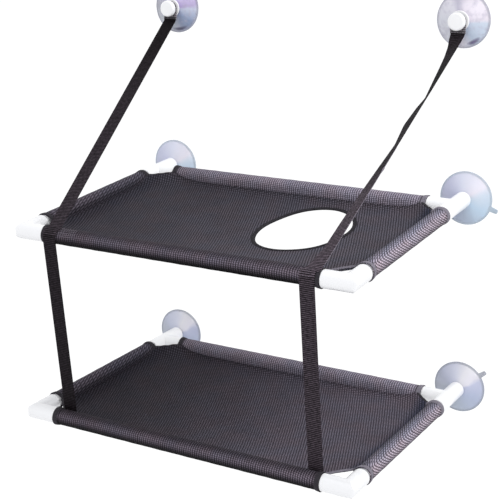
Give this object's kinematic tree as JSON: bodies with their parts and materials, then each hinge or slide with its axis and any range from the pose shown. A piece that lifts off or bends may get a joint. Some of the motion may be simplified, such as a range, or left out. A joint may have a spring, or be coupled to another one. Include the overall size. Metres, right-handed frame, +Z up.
{
  "type": "window mounted cat perch",
  "caption": "Window perch for cats: stacked tube frames with mesh hammocks, hung on straps and suction cups, with an oval hole through the upper hammock.",
  "frame": {"origin": "on the glass face, half-way between the side tubes, at the height of the upper tier's suction cups", "axes": "+X to the right along the window as seen from the room, +Y into the glass, +Z up"},
  "size_m": [0.6534, 0.426, 0.7063],
  "materials": {
    "frame_plastic": "gloss",
    "mesh_fabric": "ribbed mesh",
    "binding_tape": "matt",
    "webbing": "ribbed webbing",
    "cup_vinyl": "clear and soft",
    "stud_steel": "plain"
  },
  "bodies": {
    "glass_side": {"top_cup_left": "cup_vinyl", "top_stud_left": "stud_steel", "top_collar_left": "frame_plastic", "upper_strap_left": "webbing", "top_cup_right": "cup_vinyl", "top_stud_right": "stud_steel", "top_collar_right": "frame_plastic", "upper_strap_right": "webbing"},
    "upper_tier": {"upper_tube_front": "frame_plastic", "upper_tube_back": "frame_plastic", "upper_hammock": "mesh_fabric", "upper_tube_left": "frame_plastic", "upper_elbow_left": "frame_plastic", "upper_tee_left": "frame_plastic", "upper_socket_left": "frame_plastic", "upper_tube_right": "frame_plastic", "upper_elbow_right": "frame_plastic", "upper_tee_right": "frame_plastic", "upper_socket_right": "frame_plastic", "upper_hole_binding": "binding_tape"},
    "lower_tier": {"lower_tube_front": "frame_plastic", "lower_tube_back": "frame_plastic", "lower_hammock": "mesh_fabric", "lower_tube_left": "frame_plastic", "lower_elbow_left": "frame_plastic", "lower_tee_left": "frame_plastic", "lower_socket_left": "frame_plastic", "lower_tube_right": "frame_plastic", "lower_elbow_right": "frame_plastic", "lower_tee_right": "frame_plastic", "lower_socket_right": "frame_plastic"},
    "lower_straps": {"lower_strap_left": "webbing", "lower_strap_right": "webbing"},
    "upper_cup_left_body": {"upper_cup_left": "cup_vinyl"},
    "upper_cup_right_body": {"upper_cup_right": "cup_vinyl"},
    "lower_cup_left_body": {"lower_cup_left": "cup_vinyl"},
    "lower_cup_right_body": {"lower_cup_right": "cup_vinyl"},
    "knob_left": {"top_knob_left": "frame_plastic"},
    "knob_right": {"top_knob_right": "frame_plastic"}
  },
  "joints": [
    {"name": "knob_left_turn", "type": "hinge", "parent": "glass_side", "child": "knob_left", "pos_m": [-0.261, 0, 0.277], "axis": [0, -1, 0], "continuous": true},
    {"name": "knob_right_turn", "type": "hinge", "parent": "glass_side", "child": "knob_right", "pos_m": [0.261, 0, 0.277], "axis": [0, -1, 0], "continuous": true},
    {"name": "upper_cup_left_turn", "type": "hinge", "parent": "glass_side", "child": "upper_cup_left_body", "pos_m": [-0.275, 0, 0], "axis": [0, -1, 0], "continuous": true},
    {"name": "upper_cup_right_turn", "type": "hinge", "parent": "glass_side", "child": "upper_cup_right_body", "pos_m": [0.275, 0, 0], "axis": [0, -1, 0], "continuous": true},
    {"name": "lower_cup_left_turn", "type": "hinge", "parent": "glass_side", "child": "lower_cup_left_body", "pos_m": [-0.275, 0, -0.32], "axis": [0, -1, 0], "continuous": true},
    {"name": "lower_cup_right_turn", "type": "hinge", "parent": "glass_side", "child": "lower_cup_right_body", "pos_m": [0.275, 0, -0.32], "axis": [0, -1, 0], "continuous": true},
    {"name": "upper_tier_lift", "type": "hinge", "parent": "glass_side", "child": "upper_tier", "pos_m": [0, -0.0235, 0], "axis": [-1, 0, 0], "range_deg": [0, 10], "deforming": ["upper_strap_left", "upper_strap_right"]},
    {"name": "lower_tier_lift", "type": "hinge", "parent": "glass_side", "child": "lower_tier", "pos_m": [0, -0.0235, -0.32], "axis": [-1, 0, 0], "range_deg": [0, 10.1]},
    {"name": "lower_strap_swing", "type": "hinge", "parent": "upper_tier", "child": "lower_straps", "pos_m": [0, -0.41136, -0.02236], "axis": [1, 0, 0], "range_deg": [0, 10.8]}
  ],
  "couplings": [
    {"joint": "lower_tier_lift", "follows": "upper_tier_lift", "ratio": 1.0037},
    {"joint": "lower_strap_swing", "follows": "upper_tier_lift", "ratio": 1.0758}
  ]
}
